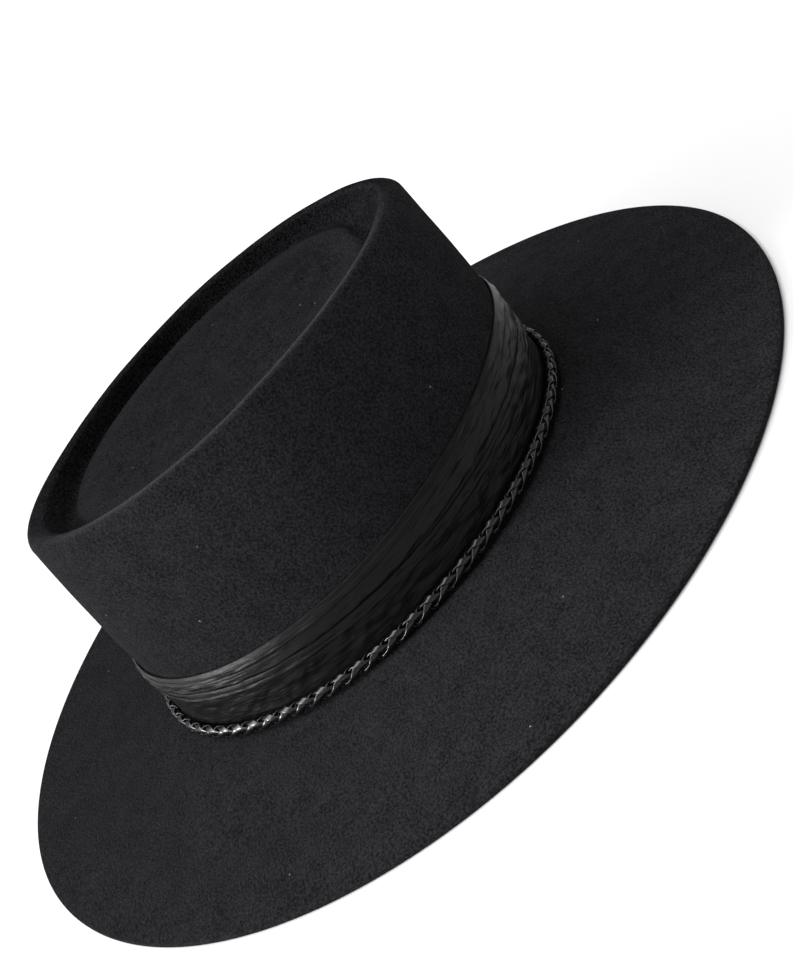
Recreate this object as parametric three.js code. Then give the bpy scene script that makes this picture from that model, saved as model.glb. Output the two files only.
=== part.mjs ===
// A wide-brim felt hat with a low, flat-sided crown whose top is sunk inside a rim, a pleated cloth
// band and a braided leather cord round the foot of the crown.
// Millimetres, +Z up. The hat lies on the edge of its brim on the plane z = 0, the origin is under the
// middle of the brim, -Y is the front, +Y the back and +X the wearer's left.

import * as THREE from 'three';

// The felt
const headLength = 201; // inside the crown's mouth, front to back
const headWidth = 168; // inside the crown's mouth, side to side
const crownFelt = 2; // wall of the crown
const brimFelt = 2.4; // wall of the brim

// The brim: how far it reaches past the crown, and how high its top face climbs from its edge to the crown
const brimWidth = 89.4;
const brimRiseFront = 0.6;
const brimRiseSide = 3.7;
const brimRiseBack = 9.8;
const brimSeat = 8; // flat ring under the edge, where the felt lies on a table
const brimEdgeRound = 0.7; // the cut edge's rounding
const crownForward = 3.6; // how far the crown stands ahead of the brim's middle

// The crown: heights from the brim's top face to the rim, and the outline at the top
const crownHeightFront = 98.5;
const crownHeightSide = 99.7;
const crownHeightBack = 95.2;
const topLength = 198.1;
const topWidth = 146.8;
const topLean = 4.6; // how far the top leans back over the foot
const crownBulge = 1.4; // how far the sides swell at mid height
const footRadius = 3.5; // the turn from the crown into the brim

// The rim is the felt folded over. Inside it a wall goes down, steeply at the sides, to a groove round the
// sunken top
const rimFoldSide = 0.4; // inside radius of the fold
const rimFoldEnd = 4.1;
const dishDepth = 7.6; // from the rim to the edge of the sunken top
const dishSlopeFront = 58; // the wall, in degrees from level
const dishSlopeSide = 80;
const dishSlopeBack = 30;
const gutterSide = 2; // radius at the foot of the wall
const gutterEnd = 5;
const grooveDepth = 2; // below the edge of the sunken top
const grooveWidth = 6; // from the bottom of the groove to the edge of the sunken top
const dishDome = 1.5; // how far the sunken top swells in its middle

// The band: the height of its top edge over the brim, and its cloth
const bandTopFront = 31.3;
const bandTopSide = 32.1;
const bandTopBack = 39;
const bandFoot = 4.2; // height of its lower edge, hidden behind the cord
const bandThickness = 1.2;

// The cord
const cordWidth = 5.8; // up and down
const cordThickness = 4.2; // away from the band
const cordPitch = 8.7; // from one stitch of the braid to the next
const cordHeight = 4; // height of its centre over the brim
const cordDip = 0.16; // share of its radius lost between two stitches

// Clear space between two pieces
const gap = 0.3;

// Shape of the ovals: the exponent of the outline, 2 for an ellipse, and how much narrower the back is
const footSquareness = 2.01;
const topSquareness = 1.83;
const brimSquareness = 1.965;
const backTaper = 0.012;

// Fineness of the faces
const turns = 60;
const cordSides = 6;
const cordStepsPerStitch = 4;

// Where the rows of faces lie along each stretch of the felt's section, as shares of that stretch
const floorRows = [0.35, 0.7];
const grooveRows = [0, 0.35, 0.65];
const gutterRows = [0, 0.5, 1];
const foldRows = [-1, -0.65, -0.3, 0, 0.35, 0.7]; // below 0 inside the crest, above 0 outside it
const sideRows = [0, 0.15, 0.32, 0.5, 0.68, 0.86, 1];
const footRows = [0.5, 1];
const brimRows = [0.2, 0.45, 0.7, 1 - brimSeat / brimWidth, 1 - brimEdgeRound / brimWidth];

// The band's pleats from its top edge down. front, side and back: where the fold lies, as a share of the
// band's width; lap: share of its thickness lost below the fold
const pleats = [
  { front: 0.12, side: 0.14, back: 0.16, lap: 0.3 },
  { front: 0.25, side: 0.36, back: 0.4, lap: 0.65 },
  { front: 0.42, side: 0.53, back: 0.62, lap: 0.75 },
];
const lapShare = 0.035; // share of the band's width over which a fold drops
const bandEdgeShare = 0.6; // share of the thickness left at its two edges
const bandBackRows = [1, 0.67, 0.33, 0];

const wave = (share) => (1 - Math.cos(Math.PI * share)) / 2;
const mix = (from, to, share) => from + (to - from) * share;

// A size that has one value at the front, one at the sides and one at the back. turn is 0 at the back
function around(front, side, back, turn) {
  const c = Math.cos(turn);
  return side + ((front + back) / 2 - side) * c * c + ((back - front) / 2) * c;
}

// A size that has one value at the sides and another at the two ends
function endwise(side, end, turn) {
  return mix(side, end, Math.cos(turn) ** 4);
}

function oval(halfLength, halfWidth, squareness, middle, turn) {
  const c = Math.cos(turn);
  const s = Math.sin(turn);
  const power = 2 / squareness;
  return {
    x: halfWidth * Math.sign(s) * Math.abs(s) ** power * (1 - backTaper * c),
    y: middle + halfLength * Math.sign(c) * Math.abs(c) ** power,
  };
}

const footHalfLength = headLength / 2 + crownFelt;
const footHalfWidth = headWidth / 2 + crownFelt;

// The direction straight out of the crown in plan
function outward(turn) {
  const x = Math.sin(turn) / footHalfWidth;
  const y = Math.cos(turn) / footHalfLength;
  const length = Math.hypot(x, y);
  return { x: x / length, y: y / length };
}

const footHeight = (turn) => brimFelt + around(brimRiseFront, brimRiseSide, brimRiseBack, turn);
const rimHeight = (turn) =>
  footHeight(turn) + around(crownHeightFront, crownHeightSide, crownHeightBack, turn);
const foldRadius = (turn) => crownFelt + endwise(rimFoldSide, rimFoldEnd, turn);

// A point of the crown's outer side. share is 0 at the foot and 1 where the rim's fold begins
function crownSide(share, turn) {
  const swell = crownBulge * 4 * share * (1 - share);
  const plan = oval(
    mix(footHalfLength, topLength / 2, share) + swell,
    mix(footHalfWidth, topWidth / 2, share) + swell,
    mix(footSquareness, topSquareness, share),
    mix(-crownForward, topLean - crownForward, share),
    turn,
  );
  const height = mix(footHeight(turn), rimHeight(turn) - foldRadius(turn), share);
  return new THREE.Vector3(plan.x, plan.y, height);
}

function outFrom(point, turn, out, up = 0) {
  const way = outward(turn);
  return new THREE.Vector3(point.x + way.x * out, point.y + way.y * out, point.z + up);
}

// A point beside the crown's side, that far over the brim and that far out of the felt
function besideCrown(height, out, turn) {
  const sideHeight = rimHeight(turn) - foldRadius(turn) - footHeight(turn);
  return outFrom(crownSide(height / sideHeight, turn), turn, out);
}

function brimPoint(share, turn) {
  const inner = outFrom(crownSide(0, turn), turn, footRadius);
  const edge = oval(
    footHalfLength + brimWidth, footHalfWidth + brimWidth, brimSquareness, 0, turn,
  );
  const seat = 1 - brimSeat / brimWidth;
  const fall = share < seat ? 1 - share / seat : 0;
  return new THREE.Vector3(
    mix(inner.x, edge.x, share), mix(inner.y, edge.y, share), mix(brimFelt, inner.z, fall),
  );
}

// The outer face of the felt at one turn, from the middle of the sunken top out to the brim's edge
function feltSection(turn) {
  const slopeEnd = mix(dishSlopeFront, dishSlopeBack, (1 + Math.cos(turn)) / 2);
  const slope = THREE.MathUtils.degToRad(endwise(dishSlopeSide, slopeEnd, turn));
  const fold = foldRadius(turn);
  const gutter = endwise(gutterSide, gutterEnd, turn);
  const top = crownSide(1, turn);
  const wallDrop = dishDepth + grooveDepth - (fold + gutter) * (1 - Math.cos(slope));
  const wallRun = wallDrop / Math.tan(slope);
  const gutterIn = fold + fold * Math.sin(slope) + wallRun + gutter * Math.sin(slope);
  const section = [];

  // The sunken top, apart from its middle
  const grooveBottom = outFrom(top, turn, -gutterIn, fold - dishDepth - grooveDepth);
  const floorEdge = outFrom(grooveBottom, turn, -grooveWidth, grooveDepth);
  const middle = dishMiddle();
  for (const share of floorRows) {
    const level = mix(middle.z - dishDome, floorEdge.z, share);
    const dome = dishDome * (1 - share ** 2);
    section.push(middle.clone().lerp(floorEdge, share).setZ(level + dome));
  }

  // The groove, then the wall and the fold up over the rim and down to the side
  for (const share of grooveRows) {
    section.push(outFrom(floorEdge, turn, grooveWidth * share, -grooveDepth * wave(share)));
  }
  for (const share of gutterRows) {
    const angle = slope * share;
    const up = gutter * (1 - Math.cos(angle));
    section.push(outFrom(grooveBottom, turn, gutter * Math.sin(angle), up));
  }
  for (const share of foldRows) {
    const angle = share < 0 ? -slope * share : (-Math.PI / 2) * share;
    section.push(outFrom(top, turn, -fold - fold * Math.sin(angle), fold * Math.cos(angle)));
  }

  // The side and the turn into the brim
  const sideHeight = top.z - footHeight(turn);
  const sideStart = footRadius / sideHeight;
  for (const share of sideRows) {
    section.push(crownSide(mix(1, sideStart, share), turn));
  }
  const foot = crownSide(0, turn);
  for (const share of footRows) {
    const angle = (Math.PI / 2) * share;
    const out = footRadius * (1 - Math.cos(angle));
    section.push(outFrom(foot, turn, out, footRadius * (1 - Math.sin(angle))));
  }

  // The brim, with a row where its flat edge ring begins
  for (const share of brimRows) {
    section.push(brimPoint(share, turn));
  }
  return section;
}

// The middle of the sunken top's outer face
function dishMiddle() {
  const ends = [0, Math.PI].map((turn) => crownSide(1, turn));
  const rim = (rimHeight(0) + rimHeight(Math.PI)) / 2;
  return new THREE.Vector3(0, (ends[0].y + ends[1].y) / 2, rim - dishDepth + dishDome);
}

// The felt's inner face at one turn: each point of the outer face moved in by the wall, square to its
// two faces. The brim's wall begins where the turn into the brim ends
function innerSection(outer, turn) {
  const way = outward(turn);
  const flat = outer.map((point) => new THREE.Vector2(point.x * way.x + point.y * way.y, point.z));
  const normals = flat.slice(1).map((point, i) => {
    const along = point.clone().sub(flat[i]).normalize();
    return new THREE.Vector2(-along.y, along.x);
  });
  const level = new THREE.Vector2(0, 1);
  const brimStart = outer.length - brimRows.length - 1;
  return outer.map((point, i) => {
    const before = i > 0 ? normals[i - 1] : level;
    const after = i < normals.length ? normals[i] : level;
    const wall = i < brimStart ? crownFelt : brimFelt;
    const step = wall / (1 + before.dot(after));
    const shift = before.clone().add(after).multiplyScalar(step);
    return outFrom(point, turn, -shift.x, -shift.y);
  });
}

// A solid from sections that run round the hat. Each section closes on itself, or it runs between two poles
function solidFrom(sections, closed, poles = []) {
  const points = sections.flat();
  const rows = sections[0].length;
  const faces = [];
  const links = closed ? rows : rows - 1;
  for (let i = 0; i < sections.length; i += 1) {
    const next = (i + 1) % sections.length;
    for (let k = 0; k < links; k += 1) {
      const up = (k + 1) % rows;
      const [a, b, c, d] = [i * rows + k, next * rows + k, next * rows + up, i * rows + up];
      faces.push(a, b, c, a, c, d);
    }
    if (!closed) {
      const first = points.length;
      faces.push(first, next * rows, i * rows);
      faces.push(first + 1, i * rows + rows - 1, next * rows + rows - 1);
    }
  }
  const geometry = new THREE.BufferGeometry();
  geometry.setFromPoints([...points, ...poles]);
  geometry.setIndex(faces);
  geometry.computeVertexNormals();
  return geometry;
}

function evenTurns(count) {
  return Array.from({ length: count }, (_, i) => (2 * Math.PI * i) / count);
}

function feltGeometry() {
  const sections = evenTurns(turns).map((turn) => {
    const outer = feltSection(turn);
    const inner = innerSection(outer, turn);
    const edge = brimPoint(1, turn);
    const upper = edge.clone().setZ(brimFelt - brimEdgeRound);
    const lower = edge.clone().setZ(brimEdgeRound);
    return [...outer, upper, lower, ...inner.reverse()];
  });
  const middle = dishMiddle();
  const under = middle.clone().setZ(middle.z - crownFelt);
  return solidFrom(sections, false, [middle, under]);
}

// The band's section: down its pleated outer face and up its plain inner face
function bandSection(turn) {
  const top = around(bandTopFront, bandTopSide, bandTopBack, turn);
  const at = (share, thick) =>
    besideCrown(mix(top, bandFoot, share), gap + bandThickness * thick, turn);
  const face = [at(0, bandEdgeShare), at(lapShare, 1)];
  for (const pleat of pleats) {
    const line = around(pleat.front, pleat.side, pleat.back, turn);
    face.push(at(line, 1), at(line + lapShare, 1 - pleat.lap));
  }
  face.push(at(1, bandEdgeShare));
  const back = bandBackRows.map((share) => at(share, 0));
  return [...face, ...back];
}

// The cord's centre line, beside the band and over the brim
function cordCentre(turn) {
  return besideCrown(cordHeight, gap + bandThickness + gap + cordThickness / 2, turn);
}

// Turns that divide the cord's centre line into equal lengths
function turnsAlongCord(stitchSteps) {
  const fine = evenTurns(720).concat(2 * Math.PI);
  const line = fine.map(cordCentre);
  const lengths = [0];
  for (let i = 1; i < line.length; i += 1) {
    lengths.push(lengths[i - 1] + line[i].distanceTo(line[i - 1]));
  }
  const whole = lengths[lengths.length - 1];
  const count = Math.round(whole / cordPitch) * stitchSteps;
  let k = 0;
  return Array.from({ length: count }, (_, i) => {
    const goal = (whole * i) / count;
    while (lengths[k + 1] < goal) k += 1;
    return mix(fine[k], fine[k + 1], (goal - lengths[k]) / (lengths[k + 1] - lengths[k]));
  });
}

// The braid as one knobbly tube: its stitches slant away from the outer face to both edges
function cordGeometry() {
  const sections = turnsAlongCord(cordStepsPerStitch).map((turn, i) => {
    const centre = cordCentre(turn);
    return Array.from({ length: cordSides }, (_, k) => {
      const angle = (2 * Math.PI * k) / cordSides;
      const slant = Math.abs(((angle + Math.PI) % (2 * Math.PI)) - Math.PI) / Math.PI;
      const knob = wave(2 * (i / cordStepsPerStitch + slant));
      const fill = 1 - cordDip * knob;
      const out = (cordThickness / 2) * fill * Math.cos(angle);
      return outFrom(centre, turn, out, (-cordWidth / 2) * fill * Math.sin(angle));
    });
  });
  return solidFrom(sections, true);
}

function mesh(name, geometry, color, roughness) {
  const material = new THREE.MeshStandardMaterial({ color, roughness, metalness: 0 });
  const made = new THREE.Mesh(geometry, material);
  made.name = name;
  return made;
}

const hat = new THREE.Group();
hat.add(mesh('felt_body', feltGeometry(), 0x1a1a1c, 0.95));
hat.add(mesh('pleated_band', solidFrom(evenTurns(turns).map(bandSection), true), 0x131316, 0.5));
hat.add(mesh('braided_cord', cordGeometry(), 0x0d0d0e, 0.3));

export default hat;
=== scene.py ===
import math

import bpy
import numpy as np
from mathutils import Matrix, Vector, noise


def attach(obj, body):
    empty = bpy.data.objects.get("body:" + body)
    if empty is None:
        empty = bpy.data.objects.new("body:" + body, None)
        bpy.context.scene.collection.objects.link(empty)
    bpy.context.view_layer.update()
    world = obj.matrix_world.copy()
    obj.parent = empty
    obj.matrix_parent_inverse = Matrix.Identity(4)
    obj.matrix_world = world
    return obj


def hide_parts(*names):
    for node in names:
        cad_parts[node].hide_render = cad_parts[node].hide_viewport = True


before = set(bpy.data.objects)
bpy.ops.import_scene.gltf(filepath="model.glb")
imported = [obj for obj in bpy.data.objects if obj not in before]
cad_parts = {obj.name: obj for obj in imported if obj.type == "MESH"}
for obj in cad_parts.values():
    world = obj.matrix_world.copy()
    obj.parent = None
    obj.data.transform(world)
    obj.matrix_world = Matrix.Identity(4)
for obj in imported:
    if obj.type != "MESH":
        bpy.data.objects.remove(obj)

# A wide-brim hat of black fur felt, with a pleated cloth band and a braided leather cord round the foot of its
# crown. The script dresses the hat's solids and lays it on a pale table. Sizes are in metres, +Z is up, -Y is
# the front of the hat and +X the wearer's left. A turn is an angle round the hat: 0 at the back, a quarter turn
# at the wearer's left.

bl_info = {
    "name": "Felt Hat",
    "version": (1, 0, 0),
    "blender": (4, 5, 0),
    "location": "3D View > Sidebar > Hat",
    "description": "Builds a felt hat with a pleated band and a braided cord",
    "category": "Add Mesh",
}

MM = 0.001
FULL = 2 * math.pi
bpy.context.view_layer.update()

# How fine the meshes are
FELT_TURNS = 360
FLOOR_ROWS = 26
GROOVE_ROWS = 8
GUTTER_ROWS = 6
FOLD_ROWS = 16
SIDE_ROWS = 30
FOOT_ROWS = 8
BRIM_ROWS = 30
BAND_TURNS = 480
PATH_POINTS = 1440
STITCH_STEPS = 8
LACE_SIDES = 12

# Spacing of two pieces that lie against each other, as in the solids
GAP = 0.3 * MM

# Shape of the ovals: the exponent of the outline, 2 for an ellipse, and how much narrower the back is
FOOT_SQUARENESS = 2.01
TOP_SQUARENESS = 1.83
BRIM_SQUARENESS = 1.965
BACK_TAPER = 0.012

CROWN_BULGE = 1.4 * MM
FOOT_RADIUS = 3.5 * MM
GUTTER_SIDE = 2 * MM
GUTTER_END = 5 * MM
DISH_DOME = 1.5 * MM
BRIM_SEAT = 8 * MM
EDGE_ROUND = 0.7 * MM

# How far the nap leans, as the sideways part of its direction
NAP_LEAN = 0.45

# The band's hem behind its top edge, the air between two layers of its cloth, and its thread spacing as drawn
HEM = 7 * MM
LAYER_AIR = 0.08 * MM
THREAD = 0.6 * MM

# Half the table's side, in metres
TABLE_HALF = 60.0

# Each light's name, the way it shines from, how wide it is in degrees, and its strength. All are far off and
# wide, so the table is as bright at the edge of the view as under the hat
LIGHTS = (
    ("overhead light", (-0.1, -0.3, 1.0), 60, 2.2),
    ("front light", (0.0, -1.0, 0.6), 50, 1.2),
    ("strip light", (0.15, -1.0, 0.3), 14, 2.0),
)
DAYLIGHT = 0.26


def length(name, description, millimetres):
    return bpy.props.FloatProperty(
        name=name, description=description, default=millimetres * MM, unit="LENGTH", precision=4,
    )


def colour(name, description, code):
    return bpy.props.FloatVectorProperty(
        name=name, description=description, default=linear(code), subtype="COLOR", size=3, min=0, max=1,
    )


def linear(code):
    """The linear colour of an sRGB hex value such as 2a2a2c."""
    parts = [int(code[i:i + 2], 16) / 255 for i in (0, 2, 4)]
    return tuple(v / 12.92 if v <= 0.04045 else ((v + 0.055) / 1.055) ** 2.4 for v in parts)


class FeltSizes(bpy.types.PropertyGroup):
    """Sizes and colours of the felt crown and brim."""
    head_length: length("Head length", "Inside the crown's mouth, front to back", 201)
    head_width: length("Head width", "Inside the crown's mouth, side to side", 168)
    crown_felt: length("Crown felt", "Wall of the crown", 2)
    brim_felt: length("Brim felt", "Wall of the brim", 2.4)
    brim_width: length("Brim width", "How far the brim reaches past the crown", 89.4)
    brim_rise_front: length("Brim rise, front", "How high the brim's top climbs to the crown in front", 0.6)
    brim_rise_side: length("Brim rise, sides", "How high the brim's top climbs to the crown at the sides", 3.7)
    brim_rise_back: length("Brim rise, back", "How high the brim's top climbs to the crown at the back", 9.8)
    crown_forward: length("Crown forward", "How far the crown stands ahead of the brim's middle", 3.6)
    height_front: length("Crown height, front", "From the brim's top to the rim in front", 98.5)
    height_side: length("Crown height, sides", "From the brim's top to the rim at the sides", 99.7)
    height_back: length("Crown height, back", "From the brim's top to the rim at the back", 95.2)
    top_length: length("Top length", "Outline of the crown at its top, front to back", 198.1)
    top_width: length("Top width", "Outline of the crown at its top, side to side", 146.8)
    top_lean: length("Top lean", "How far the top leans back over the foot", 4.6)
    fold_side: length("Rim fold, sides", "Inside radius of the folded rim at the sides", 0.4)
    fold_end: length("Rim fold, ends", "Inside radius of the folded rim in front and at the back", 4.1)
    dish_depth: length("Dish depth", "From the rim down to the edge of the sunken top", 7.3)
    groove_width: length("Groove width", "From the groove's bottom to the edge of the sunken top", 4.8)
    groove_front: length("Groove, front", "How deep the groove round the sunken top is in front", 3)
    groove_side: length("Groove, sides", "How deep the groove round the sunken top is at the sides", 2.4)
    groove_back: length("Groove, back", "How deep the groove round the sunken top is at the back", 0.8)
    dish_slope_front: bpy.props.FloatProperty(
        name="Dish slope, front", description="Slope of the wall inside the rim in front",
        default=math.radians(58), subtype="ANGLE",
    )
    dish_slope_side: bpy.props.FloatProperty(
        name="Dish slope, sides", description="Slope of the wall inside the rim at the sides",
        default=math.radians(80), subtype="ANGLE",
    )
    dish_slope_back: bpy.props.FloatProperty(
        name="Dish slope, back", description="Slope of the wall inside the rim at the back",
        default=math.radians(30), subtype="ANGLE",
    )
    nap_dark: colour("Nap, dark", "Felt between the hairs", "171719")
    nap_light: colour("Nap, light", "Felt where the hairs catch the light", "353538")
    lint: colour("Lint", "The few pale flecks on the nap", "8c8c8e")


class BandSizes(bpy.types.PropertyGroup):
    """Sizes and colours of the pleated band."""
    top_front: length("Top edge, front", "Height of the top edge over the brim in front", 31.3)
    top_side: length("Top edge, sides", "Height of the top edge over the brim at the sides", 32.1)
    top_back: length("Top edge, back", "Height of the top edge over the brim at the back", 39)
    foot: length("Lower edge", "Height of the lower edge over the brim", 4.2)
    stack: length("Stack", "How far the lower edge stands out of the felt", 1.2)
    puff: length("Puff", "How far the pleats stand out of the felt", 2.0)
    step: length("Step", "How deep the step under a pleat is", 1.25)
    cloth: length("Cloth", "Thickness of the cloth", 0.26)
    lap: length("Lap", "How far a pleat is folded back under itself", 3.4)
    thread_dark: colour("Thread, dark", "The cloth in its hollows", "09090a")
    thread_light: colour("Thread, light", "The cloth on its threads", "151517")


class CordSizes(bpy.types.PropertyGroup):
    """Sizes and colours of the braided cord."""
    width: length("Width", "Size of the braid up and down", 5.8)
    thickness: length("Thickness", "Size of the braid away from the band", 4.2)
    height: length("Height", "Height of its middle over the brim", 4)
    pitch: length("Pitch", "From one stitch of the braid to the next", 8.7)
    roll: bpy.props.FloatProperty(
        name="Roll", description="How far the braid is rolled, up from its outer side",
        default=math.radians(65), subtype="ANGLE",
    )
    lace_width: length("Lace width", "Width of one leather lace", 2.9)
    lace_thickness: length("Lace thickness", "Thickness of one leather lace", 1.0)
    leather: colour("Leather", "The dyed lace", "0b0b0c")


# The hat's form, worked out for a whole row of turns at once

def mix(start, end, part):
    return start + (end - start) * part


def around(front, side, back, turn):
    """A size with one value in front, one at the sides and one at the back."""
    c = np.cos(turn)
    return side + ((front + back) / 2 - side) * c * c + ((back - front) / 2) * c


def endwise(side, end, turn):
    return mix(side, end, np.cos(turn) ** 4)


def oval(half_length, half_width, squareness, middle, turn):
    c, s = np.cos(turn), np.sin(turn)
    power = 2 / squareness
    x = half_width * np.sign(s) * np.abs(s) ** power * (1 - BACK_TAPER * c)
    y = middle + half_length * np.sign(c) * np.abs(c) ** power
    return x, y


class Form:
    """Points of the felt, for the sizes in the panel and a row of turns."""

    def __init__(self, felt, turn):
        self.felt, self.turn = felt, turn
        self.half_length = felt.head_length / 2 + felt.crown_felt
        self.half_width = felt.head_width / 2 + felt.crown_felt
        way = np.stack([np.sin(turn) / self.half_width, np.cos(turn) / self.half_length], -1)
        self.way = way / np.linalg.norm(way, axis=-1, keepdims=True)
        self.foot_height = felt.brim_felt + around(
            felt.brim_rise_front, felt.brim_rise_side, felt.brim_rise_back, turn,
        )
        self.rim_height = self.foot_height + around(
            felt.height_front, felt.height_side, felt.height_back, turn,
        )
        self.fold = felt.crown_felt + endwise(felt.fold_side, felt.fold_end, turn)
        self.side_height = self.rim_height - self.fold - self.foot_height

    def crown_side(self, part):
        """A point of the crown's outer side: part is 0 at the foot and 1 where the rim's fold begins."""
        felt = self.felt
        swell = CROWN_BULGE * 4 * part * (1 - part)
        x, y = oval(
            mix(self.half_length, felt.top_length / 2, part) + swell,
            mix(self.half_width, felt.top_width / 2, part) + swell,
            mix(FOOT_SQUARENESS, TOP_SQUARENESS, part),
            mix(-felt.crown_forward, felt.top_lean - felt.crown_forward, part),
            self.turn,
        )
        return np.stack([x, y, self.foot_height + self.side_height * part], -1)

    def out_from(self, point, out, up=0.0):
        move = np.empty_like(point)
        move[..., 0] = self.way[..., 0] * out
        move[..., 1] = self.way[..., 1] * out
        move[..., 2] = up
        return point + move

    def beside_crown(self, height, out):
        return self.out_from(self.crown_side(height / self.side_height), out)

    def brim_point(self, part):
        felt = self.felt
        inner = self.out_from(self.crown_side(0.0), FOOT_RADIUS)
        x, y = oval(
            self.half_length + felt.brim_width, self.half_width + felt.brim_width,
            BRIM_SQUARENESS, 0.0, self.turn,
        )
        seat = 1 - BRIM_SEAT / felt.brim_width
        fall = max(0.0, 1 - part / seat)
        z = mix(felt.brim_felt, inner[..., 2], fall)
        return np.stack([mix(inner[..., 0], x, part), mix(inner[..., 1], y, part), z], -1)


def even_turns(count):
    return np.arange(count) * FULL / count


def dish_middle(felt):
    ends = Form(felt, np.array([0.0, math.pi]))
    top = ends.crown_side(1.0)
    height = ends.rim_height.mean() - felt.dish_depth + DISH_DOME
    return np.array([0.0, top[:, 1].mean(), height])


def felt_rows(felt, form):
    """The outer face from the middle of the sunken top out to the brim's edge, one row of points after another.
    Also gives which row is the rim's crest and which is the brim's first."""
    slope_end = mix(felt.dish_slope_front, felt.dish_slope_back, (1 + np.cos(form.turn)) / 2)
    slope = endwise(felt.dish_slope_side, slope_end, form.turn)
    fold, gutter = form.fold, endwise(GUTTER_SIDE, GUTTER_END, form.turn)
    top = form.crown_side(1.0)
    groove = around(felt.groove_front, felt.groove_side, felt.groove_back, form.turn)
    drop = felt.dish_depth + groove - (fold + gutter) * (1 - np.cos(slope))
    gutter_in = fold + (fold + gutter) * np.sin(slope) + drop / np.tan(slope)
    groove_bottom = form.out_from(top, -gutter_in, fold - felt.dish_depth - groove)
    floor_edge = form.out_from(groove_bottom, -felt.groove_width, groove)
    middle = dish_middle(felt)
    rows = []

    for part in np.linspace(0.02, 0.985, FLOOR_ROWS):
        row = mix(middle, floor_edge, part)
        row[:, 2] = mix(middle[2] - DISH_DOME, floor_edge[:, 2], part) + DISH_DOME * (1 - part ** 2)
        rows.append(row)
    for part in np.linspace(0, 1, GROOVE_ROWS + 1)[:-1]:
        sink = groove * (1 - math.cos(math.pi * part)) / 2
        rows.append(form.out_from(floor_edge, felt.groove_width * part, -sink))
    for part in np.linspace(0, 1, GUTTER_ROWS):
        angle = slope * part
        rows.append(form.out_from(groove_bottom, gutter * np.sin(angle), gutter * (1 - np.cos(angle))))
    foot_of_wall = rows[-1]
    foot_of_fold = form.out_from(top, -fold - fold * np.sin(slope), fold * np.cos(slope))
    for part in (0.25, 0.5, 0.75):
        rows.append(mix(foot_of_wall, foot_of_fold, part))
    for part in np.linspace(-1, 1, FOLD_ROWS + 1)[:-1]:
        angle = -slope * part if part < 0 else -math.pi / 2 * part
        rows.append(form.out_from(top, -fold - fold * np.sin(angle), fold * np.cos(angle)))
    crest = len(rows) - FOLD_ROWS // 2
    start = FOOT_RADIUS / form.side_height
    for part in np.linspace(0, 1, SIDE_ROWS):
        rows.append(form.crown_side(mix(1.0, start, part)))
    foot = form.crown_side(0.0)
    for part in np.linspace(0, 1, FOOT_ROWS)[1:]:
        angle = math.pi / 2 * part
        rows.append(form.out_from(foot, FOOT_RADIUS * (1 - math.cos(angle)), FOOT_RADIUS * (1 - math.sin(angle))))
    brim_start = len(rows)
    for part in np.linspace(0, 1 - EDGE_ROUND / felt.brim_width, BRIM_ROWS)[1:]:
        rows.append(form.brim_point(part))
    return np.array(rows), crest, brim_start


def inner_rows(outer, form, felt, brim_start):
    """The inner face: each point moved in by the wall, square to the faces beside it."""
    flat = np.stack([(outer[..., :2] * form.way).sum(-1), outer[..., 2]], -1)
    along = np.diff(flat, axis=0)
    along /= np.linalg.norm(along, axis=-1, keepdims=True)
    normal = np.stack([-along[..., 1], along[..., 0]], -1)
    level = np.broadcast_to(np.array([0.0, 1.0]), (1, flat.shape[1], 2))
    before, after = np.concatenate([level, normal]), np.concatenate([normal, level])
    wall = np.where(np.arange(len(outer)) < brim_start - 1, felt.crown_felt, felt.brim_felt)
    shift = (before + after) * (wall[:, None] / (1 + (before * after).sum(-1)))[..., None]
    return np.array([form.out_from(p, -s[:, 0], -s[:, 1]) for p, s in zip(outer, shift)])


# Unevenness of the felt: how deep and how long its swells are, in millimetres, and a seed
FELT_SWELLS = ((0.35, 38, 3.1), (0.12, 13, 7.7))

# Rows at the brim's edge over which that unevenness dies away
EDGE_CALM_ROWS = 12

# Shallow creases pressed into the sunken top: x and y in millimetres, which way in degrees, then half length,
# half width and depth in millimetres
DISH_CREASES = (
    (-8, 2, 30, 8, 1.1, 0.6),
    (-4, 10, 55, 6, 0.9, 0.5),
    (14, -36, 80, 9, 1.6, 0.25),
    (-20, 44, 120, 10, 1.5, 0.25),
)


def wander(points, size, seed):
    """Smooth noise at each point, between -1 and 1."""
    flat = points.reshape(-1, 3) / size + seed
    return np.array([noise.noise(p) for p in flat]).reshape(points.shape[:-1])


def hand_finish(outer):
    """The slight unevenness of felt that was blocked and brushed by hand."""
    normal = np.cross(np.gradient(outer, axis=0), np.gradient(outer, axis=1))
    normal /= np.linalg.norm(normal, axis=-1, keepdims=True) + 1e-12
    up = np.sign(normal[0, :, 2].mean())
    depth = sum(deep * MM * wander(outer, size * MM, seed) for deep, size, seed in FELT_SWELLS)
    rows = np.arange(len(outer))[:, None]
    fade = np.clip((len(outer) - rows) / EDGE_CALM_ROWS, 0, 1)
    outer = outer + normal * up * (depth * fade)[..., None]
    top = rows < FLOOR_ROWS
    for x, y, way, half_long, half_wide, deep in DISH_CREASES:
        angle = math.radians(way)
        dx, dy = outer[..., 0] - x * MM, outer[..., 1] - y * MM
        along = dx * math.cos(angle) + dy * math.sin(angle)
        across = dy * math.cos(angle) - dx * math.sin(angle)
        dent = np.exp(-(along / (half_long * MM)) ** 2 - (across / (half_wide * MM)) ** 2)
        outer[..., 2] -= deep * MM * dent * top
    return outer


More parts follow.
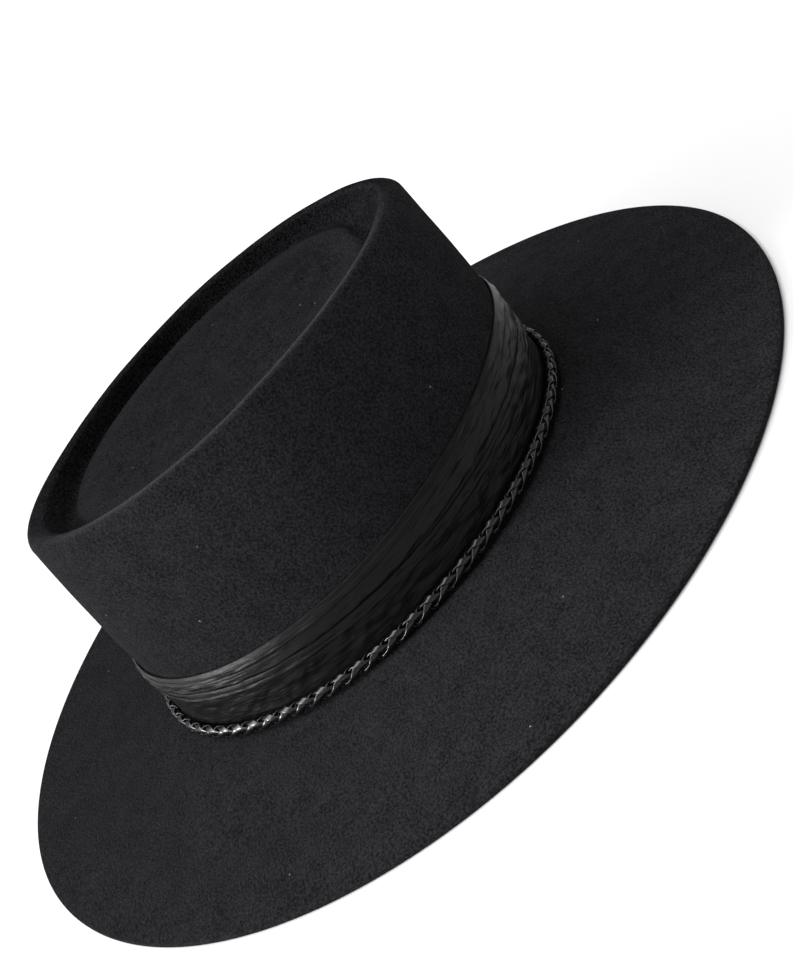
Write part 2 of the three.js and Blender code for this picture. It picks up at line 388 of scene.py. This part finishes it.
def cut_edge(form, felt):
    """The raw edge of the brim from top to bottom, with both its corners rounded off."""
    edge = form.brim_point(1.0)
    corner = [(EDGE_ROUND * (1 - math.sin(a)), EDGE_ROUND * (1 - math.cos(a))) for a in np.radians((30, 60, 90))]
    above = [form.out_from(edge, -pull, -rise) for pull, rise in corner]
    below = [form.out_from(edge, -pull, rise - felt.brim_felt) for pull, rise in reversed(corner)]
    return np.array(above + below)


# How much paler or darker the nap is painted than elsewhere, as painted light and shade. The rim's crest gets a painted
# highlight at the wearer's left, and elsewhere it is painted a little dark as shade
CREST_HIGHLIGHT_ROWS = 2.4
CREST_SHADE = -0.25
FLOOR_SHADE = 0.14
FLOOR_EDGE_HIGHLIGHT = 0.2
WALL_SHADE = 0.22


def painted_nap_light(turn, count, crest):
    """How much paler or darker each point's nap is painted, as painted highlight and shade, for count rows of points.
    """
    row = np.arange(count)[:, None]
    # Painted highlight on the crest at the wearer's left, fading to painted shade round the rest of the crest
    crest_light_and_shade = np.clip((np.sin(turn) - 0.3) / 0.5, CREST_SHADE, 1)
    light_and_shade = np.exp(-(np.abs(row - crest) / CREST_HIGHLIGHT_ROWS) ** 2) * crest_light_and_shade
    # Painted shade darkens the sunken top, and still more the groove and the wall round it, and a painted highlight
    # lightens the top near its edge. Rows are counted here in floors: 0.95 is near the floor's edge, 1.1 is in the
    # groove and 1.7 is where the rim's fold begins
    deep = row / FLOOR_ROWS
    floor_edge_highlight = FLOOR_EDGE_HIGHLIGHT * np.exp(-((deep - 0.95) / 0.12) ** 2)
    light_and_shade = light_and_shade - np.where(deep < 1.1, FLOOR_SHADE - floor_edge_highlight, 0)
    return light_and_shade - np.where((deep >= 1.1) & (deep < 1.7), WALL_SHADE, 0)


def loop_faces(rows, turns):
    """Faces between rows of points that run round the hat."""
    faces = []
    for i in range(rows - 1):
        low, high = i * turns, (i + 1) * turns
        for k in range(turns):
            n = (k + 1) % turns
            faces.append((low + k, low + n, high + n, high + k))
    return faces


def make_piece(name, points, faces, smooth=True):
    mesh = bpy.data.meshes.new(name)
    mesh.from_pydata([tuple(p) for p in points], [], faces)
    mesh.validate()
    made = bpy.data.objects.new(name, mesh)
    bpy.context.collection.objects.link(made)
    if smooth:
        mesh.shade_smooth()
    return made


def add(tree, kind, links=None, **settings):
    """Adds a node, sets it, and gives its inputs a value or another node's output."""
    made = tree.nodes.new(kind)
    for key, value in settings.items():
        setattr(made, key, value)
    for key, value in (links or {}).items():
        socket = made.inputs[key]
        if isinstance(value, bpy.types.NodeSocket):
            tree.links.new(value, socket)
        else:
            socket.default_value = value
    return made


def new_material(name):
    made = bpy.data.materials.new(name)
    made.use_nodes = True
    tree = made.node_tree
    tree.nodes.clear()
    return made, tree


def fur_felt(felt):
    """Fur felt, blocked on a form, sanded and brushed: a short matt nap that glows at a flat angle."""
    made, tree = new_material("brushed fur felt")
    place = add(tree, "ShaderNodeTexCoord").outputs["Object"]
    # The real hairs are some 0.02 mm thick. They are drawn as tufts 0.9 mm apart, which is how they show
    hairs = add(tree, "ShaderNodeTexNoise", {
        "Vector": place, "Scale": 1 / (0.9 * MM), "Detail": 3.0, "Roughness": 0.75,
    })
    clumps = add(tree, "ShaderNodeTexNoise", {"Vector": place, "Scale": 1 / (9 * MM), "Detail": 2.0})
    spread = add(tree, "ShaderNodeMapRange", {
        "Value": hairs.outputs["Fac"], "From Min": 0.38, "From Max": 0.62, "To Min": 0.0, "To Max": 1.0,
    })
    patch = add(tree, "ShaderNodeMapRange", {
        "Value": clumps.outputs["Fac"], "From Min": 0.3, "From Max": 0.7, "To Min": -0.12, "To Max": 0.12,
    })
    # The crest attribute holds painted light and shade: a painted highlight on the rim's crest at the wearer's left,
    # painted shade on the rest of the crest, the sunken top and the wall round it. It is added to the nap's random
    # clumps
    crest = add(tree, "ShaderNodeAttribute", attribute_name="crest")
    painted_light_and_clumps = add(tree, "ShaderNodeMath", {0: crest.outputs["Fac"], 1: 1.5, 2: patch.outputs[0]}, operation="MULTIPLY_ADD")
    light = add(tree, "ShaderNodeMath", {0: spread.outputs[0], 1: painted_light_and_clumps.outputs[0]}, operation="ADD")
    tint = add(tree, "ShaderNodeMix", {
        "Factor": light.outputs[0], "A": (*felt.nap_dark, 1), "B": (*felt.nap_light, 1),
    }, data_type="RGBA", clamp_factor=False)
    fine = add(tree, "ShaderNodeTexNoise", {"Vector": place, "Scale": 1 / (1.1 * MM), "Detail": 3.0, "Roughness": 0.65})
    # The nap is drawn as brushed clockwise round the hat, so it leans that way off the felt and stands up in the
    # middle of the sunken top. That makes one side of the hat catch more light than the other
    way = add(tree, "ShaderNodeVectorMath", {0: place, 1: (0, 0, 1)}, operation="CROSS_PRODUCT").outputs[0]
    reach = add(tree, "ShaderNodeVectorMath", {0: way}, operation="LENGTH").outputs["Value"]
    lean = add(tree, "ShaderNodeMapRange", {
        "Value": reach, "From Min": 20 * MM, "From Max": 75 * MM, "To Min": 0.0, "To Max": NAP_LEAN,
    })
    round_hat = add(tree, "ShaderNodeVectorMath", {0: way}, operation="NORMALIZE")
    leaning = add(tree, "ShaderNodeVectorMath", {0: round_hat.outputs[0], "Scale": lean.outputs[0]}, operation="SCALE")
    square = add(tree, "ShaderNodeNewGeometry").outputs["Normal"]
    nap = add(tree, "ShaderNodeVectorMath", {0: square, 1: leaning.outputs[0]}, operation="ADD")
    nap = add(tree, "ShaderNodeVectorMath", {0: nap.outputs[0]}, operation="NORMALIZE")
    bump = add(tree, "ShaderNodeBump", {
        "Height": fine.outputs["Fac"], "Strength": 1.0, "Distance": 1.4 * MM, "Normal": nap.outputs[0],
    })
    # Dust: a pale fleck of lint here and there
    dust = add(tree, "ShaderNodeTexVoronoi", {"Vector": place, "Scale": 1 / (5 * MM)})
    chance = add(tree, "ShaderNodeSeparateColor", {0: dust.outputs["Color"]}).outputs[0]
    near = add(tree, "ShaderNodeMath", {0: dust.outputs["Distance"], 1: 0.07}, operation="LESS_THAN")
    picked = add(tree, "ShaderNodeMath", {0: chance, 1: 0.04}, operation="LESS_THAN")
    fleck = add(tree, "ShaderNodeMath", {0: near.outputs[0], 1: picked.outputs[0]}, operation="MULTIPLY")
    dusty = add(tree, "ShaderNodeMix", {
        "Factor": fleck.outputs[0], "A": tint.outputs[2], "B": (*felt.lint, 1),
    }, data_type="RGBA")
    shader = add(tree, "ShaderNodeBsdfPrincipled", {
        "Base Color": dusty.outputs[2], "Roughness": 0.95, "Diffuse Roughness": 1.0, "Normal": bump.outputs[0],
        "Specular IOR Level": 0.05, "IOR": 1.45,
    })
    add(tree, "ShaderNodeOutputMaterial", {"Surface": shader.outputs[0]})
    return made


def pleated_cotton(band):
    """Fine black cotton, woven and calendered: a soft shine that runs along the pleats."""
    made, tree = new_material("calendered black cotton")
    uv = add(tree, "ShaderNodeUVMap", uv_map="cloth").outputs[0]
    # The real threads are 0.25 mm apart, too fine to show, so they are drawn 0.6 mm apart. A wave texture repeats
    # every FULL / 20 / scale, and this scale makes that very nearly one thread
    warp, weft = (
        add(tree, "ShaderNodeTexWave", {
            "Vector": uv, "Scale": 1 / THREAD / FULL * 2, "Distortion": 0.5,
        }, bands_direction=way).outputs["Fac"]
        for way in "XY"
    )
    weave = add(tree, "ShaderNodeMath", {0: warp, 1: weft}, operation="MAXIMUM")
    place = add(tree, "ShaderNodeTexCoord").outputs["Object"]
    uneven = add(tree, "ShaderNodeTexNoise", {"Vector": place, "Scale": 1 / (5 * MM), "Detail": 3.0})
    tone = add(tree, "ShaderNodeMath", {0: weave.outputs[0], 1: uneven.outputs["Fac"]}, operation="MULTIPLY")
    tint = add(tree, "ShaderNodeMix", {
        "Factor": tone.outputs[0], "A": (*band.thread_dark, 1), "B": (*band.thread_light, 1),
    }, data_type="RGBA")
    # Crinkles from folding: long ones that nearly follow the pleats, and shorter ones across them
    along, across = (
        add(tree, "ShaderNodeTexNoise", {
            "Vector": add(tree, "ShaderNodeMapping", {
                "Vector": uv, "Rotation": (0, 0, math.radians(way)), "Scale": (1 / (long * MM), 1 / (wide * MM), 1),
            }).outputs[0],
            "Scale": 1.0, "Detail": 2.0, "Roughness": 0.5, "Distortion": bent,
        }).outputs["Fac"]
        for way, long, wide, bent in ((8, 12, 2.4, 0.5), (-32, 7, 2.1, 0.6))
    )
    folds = add(tree, "ShaderNodeMath", {0: across, 1: 0.9, 2: along}, operation="MULTIPLY_ADD")
    soft = add(tree, "ShaderNodeBump", {"Height": folds.outputs[0], "Strength": 1.0, "Distance": 0.3 * MM})
    bump = add(tree, "ShaderNodeBump", {
        "Height": weave.outputs[0], "Strength": 0.25, "Distance": 0.04 * MM, "Normal": soft.outputs[0],
    })
    shader = add(tree, "ShaderNodeBsdfPrincipled", {
        "Base Color": tint.outputs[2], "Roughness": 0.4, "Normal": bump.outputs[0],
        "Specular IOR Level": 0.22, "IOR": 1.5,
    })
    add(tree, "ShaderNodeOutputMaterial", {"Surface": shader.outputs[0]})
    return made


def leather_lace(cord):
    """Thin leather lace, dyed and waxed: a close grain under a hard gloss."""
    made, tree = new_material("waxed leather lace")
    place = add(tree, "ShaderNodeTexCoord").outputs["Object"]
    grain = add(tree, "ShaderNodeTexVoronoi", {"Vector": place, "Scale": 1 / (0.45 * MM)})
    rub = add(tree, "ShaderNodeTexNoise", {"Vector": place, "Scale": 1 / (3 * MM), "Detail": 2.0})
    gloss = add(tree, "ShaderNodeMapRange", {
        "Value": rub.outputs["Fac"], "From Min": 0.3, "From Max": 0.7, "To Min": 0.22, "To Max": 0.34,
    })
    bump = add(tree, "ShaderNodeBump", {"Height": grain.outputs["Distance"], "Strength": 0.2, "Distance": 0.05 * MM})
    shader = add(tree, "ShaderNodeBsdfPrincipled", {
        "Base Color": (*cord.leather, 1), "Roughness": gloss.outputs[0], "Normal": bump.outputs[0],
        "Specular IOR Level": 1.0, "IOR": 1.5,
    })
    add(tree, "ShaderNodeOutputMaterial", {"Surface": shader.outputs[0]})
    return made


class HAT_OT_felt(bpy.types.Operator):
    """Build the crown and brim, one body of felt"""
    bl_idname = "hat.felt"
    bl_label = "Felt"

    def execute(self, context):
        felt = context.scene.hat_felt
        form = Form(felt, even_turns(FELT_TURNS))
        outer, crest, brim_start = felt_rows(felt, form)
        outer = hand_finish(outer)
        inner = inner_rows(outer, form, felt, brim_start)
        rows = np.concatenate([outer, cut_edge(form, felt), inner[::-1]])
        count = len(rows)
        middle = dish_middle(felt)
        poles = np.array([middle, middle - [0, 0, felt.crown_felt]])
        poles[0, 2] = rows[0, :, 2].mean()
        poles[1, 2] = rows[-1, :, 2].mean()
        faces = loop_faces(count, FELT_TURNS)
        top, under = count * FELT_TURNS, count * FELT_TURNS + 1
        last = (count - 1) * FELT_TURNS
        for k in range(FELT_TURNS):
            n = (k + 1) % FELT_TURNS
            faces.append((top, n, k))
            faces.append((under, last + k, last + n))
        made = make_piece("felt_hat_body", np.concatenate([rows.reshape(-1, 3), poles]), faces)
        # Painted highlight and painted shade for the nap, kept in the crest attribute
        light_and_shade = painted_nap_light(form.turn, count, crest).reshape(-1)
        layer = made.data.attributes.new("crest", "FLOAT", "POINT")
        layer.data.foreach_set("value", np.concatenate([light_and_shade, [0, 0]]).astype(np.float32))
        made.data.materials.append(fur_felt(felt))
        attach(made, "root")
        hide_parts("felt_body")
        return {"FINISHED"}


# The band's pleats from its top edge down: where each fold lies in front, at the sides and at the back, as a
# share of the band's width, and how deep the step under it is, as a share of the deepest
PLEATS = (
    (0.12, 0.14, 0.16, 0.5),
    (0.25, 0.36, 0.4, 1.0),
    (0.42, 0.53, 0.62, 1.0),
)


def band_profile(form, band):
    """One strip of cloth, followed from its raw edge behind the band up over the top edge and down through the
    pleats to the foot. Gives the height and the distance out of the felt of each row, at every turn."""
    turn = form.turn
    top = around(band.top_front, band.top_side, band.top_back, turn)
    width = top - band.foot
    layer = band.cloth + LAYER_AIR
    heights, outs = [], []

    def put(height, out):
        heights.append(height)
        outs.append(np.broadcast_to(out, turn.shape))

    def turn_over(height, out_from, out_to, up):
        middle, radius = (out_from + out_to) / 2, np.abs(out_to - out_from) / 2
        for angle in np.radians((0, 45, 90, 135, 180)):
            put(height + up * radius * math.sin(angle), middle + (out_from - middle) * math.cos(angle))

    inside = GAP + band.cloth / 2
    outside = GAP + band.puff - band.cloth / 2
    at_foot = GAP + band.stack - band.cloth / 2
    for part in np.linspace(0, 1, 5)[:-1]:
        put(top - HEM + (HEM - layer) * part, inside)
    edge_out = inside + 1.6 * layer
    turn_over(top - layer, inside, edge_out, 1)
    start = top - layer
    start_out = edge_out
    for front, side, back, deep in PLEATS:
        fold = top - width * around(front, side, back, turn)
        lap, under = band.lap * deep, outside - band.step * deep
        for part in np.linspace(0, 1, 8)[1:-1]:
            put(mix(start, fold + layer / 2, part), mix(start_out, outside, part))
        turn_over(fold + layer / 2, outside, outside - layer, -1)
        for part in (0.33, 0.66):
            put(fold + lap * part, outside - layer * (1 + 0.15 * part))
        turn_over(fold + lap, outside - 1.15 * layer, under, 1)
        start_out = under
        put(fold + lap * 0.5, start_out)
        start = fold - 0.3 * MM
        put(start, start_out)
    for part in np.linspace(0, 1, 17)[1:]:
        put(mix(start, band.foot, part), mix(start_out, at_foot, part))
    return np.array(heights), np.array(outs)


# Unevenness of the cloth: how deep and how high its swells are, in millimetres, and a seed. The swells round
# the hat come from a circle cut through the noise, and SWELLS_ROUND is its radius in swells
CLOTH_SWELLS = ((0.36, 3.2, 11.3), (0.18, 1.3, 5.9))
SWELLS_ROUND = 14

# Slack creases across the pleats: turn in degrees, share of the band's width from its top edge, which way in
# degrees, then half length, half width and depth in millimetres
SLACK = (
    (112, 0.62, 62, 5, 0.9, 0.3),
    (116, 0.68, 40, 6, 1.0, 0.3),
    (121, 0.74, 75, 4, 0.9, 0.25),
    (126, 0.64, 35, 6, 0.9, 0.3),
    (132, 0.74, 28, 8, 1.0, 0.3),
    (104, 0.3, 60, 6, 0.9, 0.25),
    (100, 0.78, 50, 7, 1.0, 0.3),
    (64, 0.66, 55, 8, 1.1, 0.3),
    (41, 0.4, 45, 8, 1.1, 0.3),
    (210, 0.7, 55, 8, 1.1, 0.35),
    (236, 0.35, 60, 7, 1.0, 0.3),
    (268, 0.66, 48, 9, 1.2, 0.35),
    (305, 0.55, 60, 8, 1.1, 0.3),
    (338, 0.72, 50, 8, 1.1, 0.3),
)


def slack(turn, height, top, foot, girth):
    """How far the cloth swells where it isn't pulled tight."""
    level = (top - height) / (top - foot)
    round_hat = [np.broadcast_to(wave(turn), height.shape) * SWELLS_ROUND for wave in (np.cos, np.sin)]
    lines = np.zeros_like(height)
    for deep, size, seed in CLOTH_SWELLS:
        lines += deep * MM * wander(np.stack([*round_hat, height / (size * MM)], -1), 1.0, seed)
    for degrees, at, way, half_long, half_wide, deep in SLACK:
        across_turn = (turn - math.radians(degrees) + math.pi) % FULL - math.pi
        dx = across_turn / FULL * girth
        dy = (level - at) * (top - foot)
        angle = math.radians(way)
        along = dx * math.cos(angle) + dy * math.sin(angle)
        across = dy * math.cos(angle) - dx * math.sin(angle)
        lines += deep * MM * np.exp(-(along / (half_long * MM)) ** 2 - (across / (half_wide * MM)) ** 2)
    calm = np.clip(level / 0.08, 0, 1) * np.clip((1 - level) / 0.15, 0, 1)
    return lines * calm


class HAT_OT_band(bpy.types.Operator):
    """Build the pleated band, one strip of cloth folded and sewn round the crown"""
    bl_idname = "hat.band"
    bl_label = "Band"

    def execute(self, context):
        felt, band = context.scene.hat_felt, context.scene.hat_band
        form = Form(felt, even_turns(BAND_TURNS))
        heights, outs = band_profile(form, band)
        top = around(band.top_front, band.top_side, band.top_back, form.turn)
        ring = form.beside_crown((top + band.foot) / 2, GAP)
        girth = np.linalg.norm(np.roll(ring, -1, 0) - ring, axis=1).sum()
        swell = slack(form.turn[None, :], heights, top, band.foot, girth)
        outs = np.maximum(outs + swell, GAP + band.cloth / 2)
        rows = np.array([form.beside_crown(h, o) for h, o in zip(heights, outs)])
        faces = loop_faces(len(rows), BAND_TURNS)
        made = make_piece("pleated_cloth_band", rows.reshape(-1, 3), faces)
        # The cloth's own measure, in metres: u runs round the hat and v down the strip
        steps = np.linalg.norm(np.diff(rows, axis=0), axis=-1).mean(1)
        down = np.concatenate([[0], np.cumsum(steps)])
        uv = made.data.uv_layers.new(name="cloth")
        corner = np.empty(len(made.data.loops), dtype=np.int64)
        made.data.loops.foreach_get("vertex_index", corner)
        u = (corner % BAND_TURNS) / BAND_TURNS * girth
        first = np.repeat(u.reshape(-1, 4)[:, :1], 4, axis=1).reshape(-1)
        u = np.where(first - u > girth / 2, u + girth, u)
        v = down[corner // BAND_TURNS]
        uv.data.foreach_set("uv", np.stack([u, v], -1).astype(np.float32).reshape(-1))
        made.data.materials.append(pleated_cotton(band))
        wall = made.modifiers.new("cloth thickness", "SOLIDIFY")
        wall.thickness = band.cloth
        wall.offset = 0.0
        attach(made, "root")
        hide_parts("pleated_band")
        return {"FINISHED"}


def socket(tree, name, kind, default=None, way="INPUT"):
    made = tree.interface.new_socket(name, in_out=way, socket_type="NodeSocket" + kind)
    if default is not None:
        made.default_value = default
    return made


# The braid's inputs, which the cord's sizes in the panel fill in. Out and Up are away from the band and upwards,
# Half is from the braid's middle to a lace's, and Over is the share by which a lace swings past that
LACE_INPUTS = (
    ("Half Out", "Float"), ("Half Up", "Float"), ("Over Out", "Float"), ("Over Up", "Float"), ("Roll", "Float"),
    ("Lace Width", "Float"), ("Lace Thickness", "Float"), ("Stitches", "Int"), ("Steps", "Int"), ("Section", "Int"),
)


def lace_tree():
    """One lace that winds along the path, over and under the laces that it meets."""
    tree = bpy.data.node_groups.new("lace along a path", "GeometryNodeTree")
    socket(tree, "Path", "Geometry")
    socket(tree, "Hand", "Float", 1.0)
    socket(tree, "Start", "Float", 0.0)
    for name, kind in LACE_INPUTS:
        socket(tree, name, kind)
    socket(tree, "Lace", "Geometry", way="OUTPUT")
    given = add(tree, "NodeGroupInput").outputs

    def calc(operation, *values):
        return add(tree, "ShaderNodeMath", dict(enumerate(values)), operation=operation).outputs[0]

    def vector(operation, *values):
        made = add(tree, "ShaderNodeVectorMath", operation=operation)
        for index, value in enumerate(values):
            target = made.inputs["Scale"] if operation == "SCALE" and index == 1 else made.inputs[index]
            if isinstance(value, bpy.types.NodeSocket):
                tree.links.new(value, target)
            else:
                target.default_value = value
        return made.outputs[0]

    rows = calc("MULTIPLY_ADD", given["Stitches"], given["Steps"], 1.0)
    columns = calc("ADD", given["Section"], 1.0)
    grid = add(tree, "GeometryNodeMeshGrid", {"Size X": 1.0, "Size Y": 1.0, "Vertices X": rows, "Vertices Y": columns})
    place = add(tree, "ShaderNodeSeparateXYZ", {0: add(tree, "GeometryNodeInputPosition").outputs[0]})
    along = calc("ADD", place.outputs["X"], 0.5)
    turn = calc("MULTIPLY", calc("ADD", place.outputs["Y"], 0.5), FULL)
    sample = add(tree, "GeometryNodeSampleCurve", {"Curves": given["Path"], "Factor": along}, use_all_curves=True)
    whole = add(tree, "GeometryNodeCurveLength", {0: given["Path"]}).outputs[0]
    tangent = vector("NORMALIZE", sample.outputs["Tangent"])
    out = vector("NORMALIZE", vector("CROSS_PRODUCT", tangent, (0.0, 0.0, 1.0)))
    up = vector("CROSS_PRODUCT", out, tangent)

    # Where the lace is in its winding. A winding is two stitches long
    windings = calc("MULTIPLY", given["Stitches"], 0.5)
    swept = calc("MULTIPLY", calc("MULTIPLY", along, windings), FULL)
    wound = calc("MULTIPLY_ADD", swept, given["Hand"], given["Start"])
    phase = calc("ADD", wound, given["Roll"])
    c, s = calc("COSINE", phase), calc("SINE", phase)
    over = calc("MULTIPLY", calc("COSINE", calc("MULTIPLY", wound, 2.0)), calc("MULTIPLY", given["Hand"], -1.0))
    far_out = calc("MULTIPLY", calc("MULTIPLY_ADD", over, given["Over Out"], 1.0), given["Half Out"])
    far_up = calc("MULTIPLY", calc("MULTIPLY_ADD", over, given["Over Up"], 1.0), given["Half Up"])
    centre = vector("ADD", sample.outputs["Position"], vector("ADD",
        vector("SCALE", out, calc("MULTIPLY", c, far_out)),
        vector("SCALE", up, calc("MULTIPLY", s, far_up))))

    # Which way the lace runs and which way its flat side faces
    rate = calc("DIVIDE", calc("MULTIPLY", calc("MULTIPLY", windings, FULL), given["Hand"]), whole)
    runs = vector("ADD", tangent, vector("ADD",
        vector("SCALE", out, calc("MULTIPLY", calc("MULTIPLY", s, given["Half Out"]), calc("MULTIPLY", rate, -1.0))),
        vector("SCALE", up, calc("MULTIPLY", calc("MULTIPLY", c, given["Half Up"]), rate))))
    faces = vector("NORMALIZE", vector("ADD",
        vector("SCALE", out, calc("DIVIDE", c, given["Half Out"])),
        vector("SCALE", up, calc("DIVIDE", s, given["Half Up"]))))
    across = vector("NORMALIZE", vector("CROSS_PRODUCT", runs, faces))
    wide = calc("MULTIPLY", calc("MULTIPLY", given["Lace Width"], 0.5), calc("COSINE", turn))
    thick = calc("MULTIPLY", calc("MULTIPLY", given["Lace Thickness"], 0.5), calc("SINE", turn))
    skin = vector("ADD", centre, vector("ADD", vector("SCALE", across, wide), vector("SCALE", faces, thick)))

    moved = add(tree, "GeometryNodeSetPosition", {"Geometry": grid.outputs["Mesh"], "Position": skin})
    joined = add(tree, "GeometryNodeMergeByDistance", {"Geometry": moved.outputs[0], "Distance": 0.001 * MM})
    add(tree, "NodeGroupOutput", {0: joined.outputs[0]})
    return tree


def braid_tree():
    """Four laces in a round braid along the path."""
    lace = lace_tree()
    tree = bpy.data.node_groups.new("round braid of four laces", "GeometryNodeTree")
    socket(tree, "Path", "Geometry")
    for name, kind in LACE_INPUTS:
        socket(tree, name, kind)
    socket(tree, "Leather", "Material")
    socket(tree, "Braid", "Geometry", way="OUTPUT")
    given = add(tree, "NodeGroupInput").outputs
    path = add(tree, "GeometryNodeMeshToCurve", {"Mesh": given["Path"]}).outputs[0]
    join = add(tree, "GeometryNodeJoinGeometry")
    for hand in (1.0, -1.0):
        for start in (0.0, math.pi):
            made = add(tree, "GeometryNodeGroup", node_tree=lace)
            values = {"Path": path, **{name: given[name] for name, _ in LACE_INPUTS}}
            for name, value in values.items():
                tree.links.new(value, made.inputs[name])
            made.inputs["Hand"].default_value = hand
            made.inputs["Start"].default_value = start
            tree.links.new(made.outputs[0], join.inputs[0])
    whole = add(tree, "GeometryNodeRealizeInstances", {0: join.outputs[0]})
    smooth = add(tree, "GeometryNodeSetShadeSmooth", {0: whole.outputs[0]})
    dyed = add(tree, "GeometryNodeSetMaterial", {0: smooth.outputs[0], "Material": given["Leather"]})
    add(tree, "NodeGroupOutput", {0: dyed.outputs[0]})
    return tree


def run_nodes(made, tree, values):
    """Runs a node tree on an object and leaves it as a plain mesh."""
    modifier = made.modifiers.new(tree.name, "NODES")
    modifier.node_group = tree
    for item in tree.interface.items_tree:
        if item.item_type == "SOCKET" and item.in_out == "INPUT" and item.name in values:
            modifier[item.identifier] = values[item.name]
    graph = bpy.context.evaluated_depsgraph_get()
    mesh = bpy.data.meshes.new_from_object(made.evaluated_get(graph))
    made.modifiers.remove(modifier)
    made.data = mesh
    mesh.name = made.name


class HAT_OT_cord(bpy.types.Operator):
    """Build the cord, four leather laces in a round braid"""
    bl_idname = "hat.cord"
    bl_label = "Cord"

    def execute(self, context):
        felt, band, cord = context.scene.hat_felt, context.scene.hat_band, context.scene.hat_cord
        # The path runs from front to back on the wearer's left, so the stitches point backwards there
        form = Form(felt, even_turns(PATH_POINTS)[::-1])
        line = form.beside_crown(cord.height, GAP + band.stack + GAP + cord.thickness / 2)
        girth = np.linalg.norm(np.roll(line, -1, 0) - line, axis=1).sum()
        mesh = bpy.data.meshes.new("braided_leather_cord")
        count = len(line)
        mesh.from_pydata([tuple(p) for p in line], [(i, (i + 1) % count) for i in range(count)], [])
        made = bpy.data.objects.new("braided_leather_cord", mesh)
        context.collection.objects.link(made)
        lace = cord.lace_thickness
        run_nodes(made, braid_tree(), {
            "Half Out": cord.thickness / 2 - lace,
            "Half Up": cord.width / 2 - lace,
            "Over Out": lace / 2 / (cord.thickness / 2 - lace),
            "Over Up": lace / 2 / (cord.width / 2 - lace),
            "Roll": cord.roll,
            "Lace Width": cord.lace_width,
            "Lace Thickness": lace,
            "Stitches": 2 * round(girth / cord.pitch / 2),
            "Steps": STITCH_STEPS,
            "Section": LACE_SIDES,
            "Leather": leather_lace(cord),
        })
        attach(made, "root")
        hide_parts("braided_cord")
        return {"FINISHED"}


class HAT_OT_stage(bpy.types.Operator):
    """Lay the pale table, hang the lights and set the camera"""
    bl_idname = "hat.stage"
    bl_label = "Stage"

    def execute(self, context):
        scene = context.scene
        scene.view_settings.view_transform = "Standard"

        corners = [(x * TABLE_HALF, y * TABLE_HALF, 0) for x, y in ((-1, -1), (1, -1), (1, 1), (-1, 1))]
        table = make_piece("table", corners, [(0, 1, 2, 3)], smooth=False)
        made, tree = new_material("matt white laminate")
        shader = add(tree, "ShaderNodeBsdfPrincipled", {"Base Color": (*linear("f9f9f9"), 1), "Roughness": 0.9})
        add(tree, "ShaderNodeOutputMaterial", {"Surface": shader.outputs[0]})
        table.data.materials.append(made)

        world = bpy.data.worlds.new("soft daylight")
        world.use_nodes = True
        sky = world.node_tree.nodes["Background"].inputs
        sky["Color"].default_value = (1, 1, 1, 1)
        sky["Strength"].default_value = DAYLIGHT
        scene.world = world

        for name, place, spread, strength in LIGHTS:
            lamp = bpy.data.lights.new(name, "SUN")
            lamp.angle = math.radians(spread)
            lamp.energy = strength
            hung = bpy.data.objects.new(name, lamp)
            hung.location = place
            hung.rotation_euler = Vector(place).to_track_quat("Z", "Y").to_euler()
            context.collection.objects.link(hung)

        # The camera stands where the photograph was taken from, 27 degrees above the brim and tilted on its side
        lens = bpy.data.cameras.new("camera")
        lens.sensor_fit = "VERTICAL"
        lens.sensor_height = 36
        lens.lens = 46.14
        lens.clip_end = 200
        eye = bpy.data.objects.new("camera", lens)
        right = Vector((0.28015, 0.73628, -0.61596))
        up = Vector((-0.36536, 0.67514, 0.64085))
        back = Vector((0.88771, 0.04551, 0.45815))
        turned = Matrix((right, up, back)).transposed().to_4x4()
        eye.matrix_world = Matrix.Translation((0.459113, 0.043610, 0.244438)) @ turned
        context.collection.objects.link(eye)
        scene.camera = eye
        return {"FINISHED"}


class HAT_PT_panel(bpy.types.Panel):
    """Builds the hat piece by piece"""
    bl_idname = "HAT_PT_panel"
    bl_label = "Hat"
    bl_space_type = "VIEW_3D"
    bl_region_type = "UI"
    bl_category = "Hat"

    def draw(self, context):
        for operator in OPERATORS:
            self.layout.operator(operator.bl_idname)
        for sizes in (context.scene.hat_felt, context.scene.hat_band, context.scene.hat_cord):
            box = self.layout.box()
            for name in sizes.__annotations__:
                box.prop(sizes, name)


OPERATORS = (HAT_OT_stage, HAT_OT_felt, HAT_OT_band, HAT_OT_cord)
GROUPS = {"hat_felt": FeltSizes, "hat_band": BandSizes, "hat_cord": CordSizes}


def register():
    for part in (*GROUPS.values(), *OPERATORS, HAT_PT_panel):
        bpy.utils.register_class(part)
    for name, group in GROUPS.items():
        setattr(bpy.types.Scene, name, bpy.props.PointerProperty(type=group))


def unregister():
    for name in GROUPS:
        delattr(bpy.types.Scene, name)
    for part in (HAT_PT_panel, *reversed(OPERATORS), *GROUPS.values()):
        bpy.utils.unregister_class(part)


def main():
    register()
    for operator in OPERATORS:
        group, name = operator.bl_idname.split(".")
        getattr(getattr(bpy.ops, group), name)()


if __name__ == "__main__":
    main()
